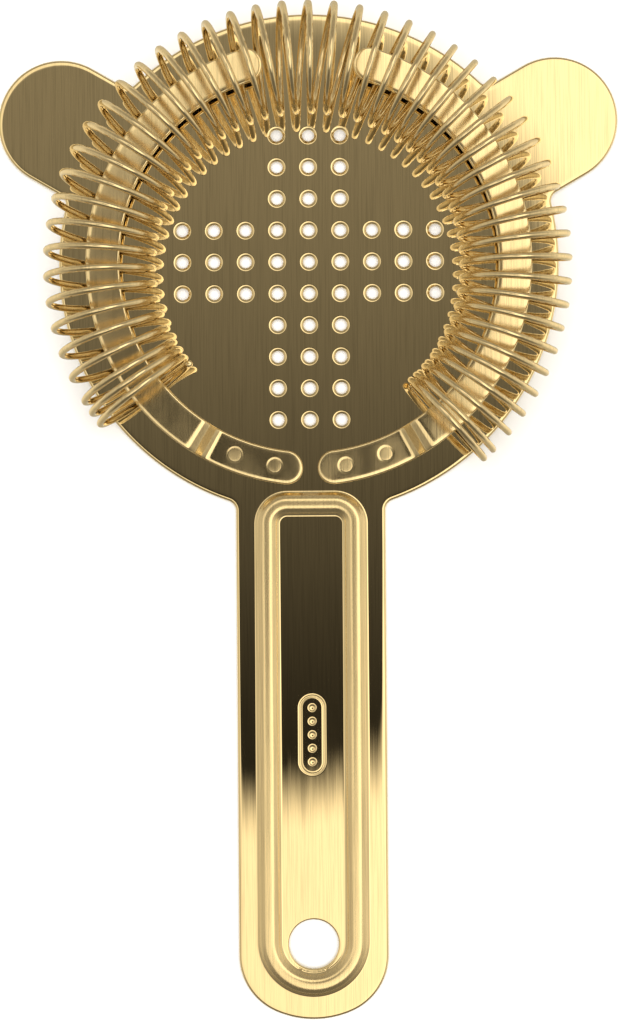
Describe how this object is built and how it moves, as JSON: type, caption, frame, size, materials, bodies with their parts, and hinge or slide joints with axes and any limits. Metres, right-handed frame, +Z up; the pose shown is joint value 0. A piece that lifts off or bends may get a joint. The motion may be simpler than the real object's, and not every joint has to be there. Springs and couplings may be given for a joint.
{
  "type": "hawthorne strainer",
  "caption": "Gold-coloured bar strainer: a perforated round head with side ears, a long flat handle with a hanging hole, and a coil spring threaded on curved arms.",
  "frame": {"origin": "middle of the footprint on the flat resting face, 41.5 mm behind the head's centre", "axes": "+Z up from the resting face towards the spring, +Y to the front of the head, handle along -Y, +X to the right seen from above"},
  "size_m": [0.1016, 0.1654, 0.0196],
  "materials": {
    "gold_sheet": "gold-coloured plating on fine-brushed stainless steel",
    "gold_strip": "gold-coloured plating, satin",
    "gold_weld": "gold-coloured plating over a weld dimple",
    "gold_wire": "gold-coloured plating, polished round wire"
  },
  "bodies": {
    "frame": {"strainer_plate": "gold_sheet", "left_spring_arm": "gold_strip", "right_spring_arm": "gold_strip", "spot_welds": "gold_weld"},
    "spring": {"coil_spring": "gold_wire"}
  },
  "joints": [
    {"name": "spring_slide_round", "type": "hinge", "parent": "frame", "child": "spring", "pos_m": [0, 0.04147, 0], "axis": [0, 0, 1], "range_deg": [-6, 14]}
  ]
}
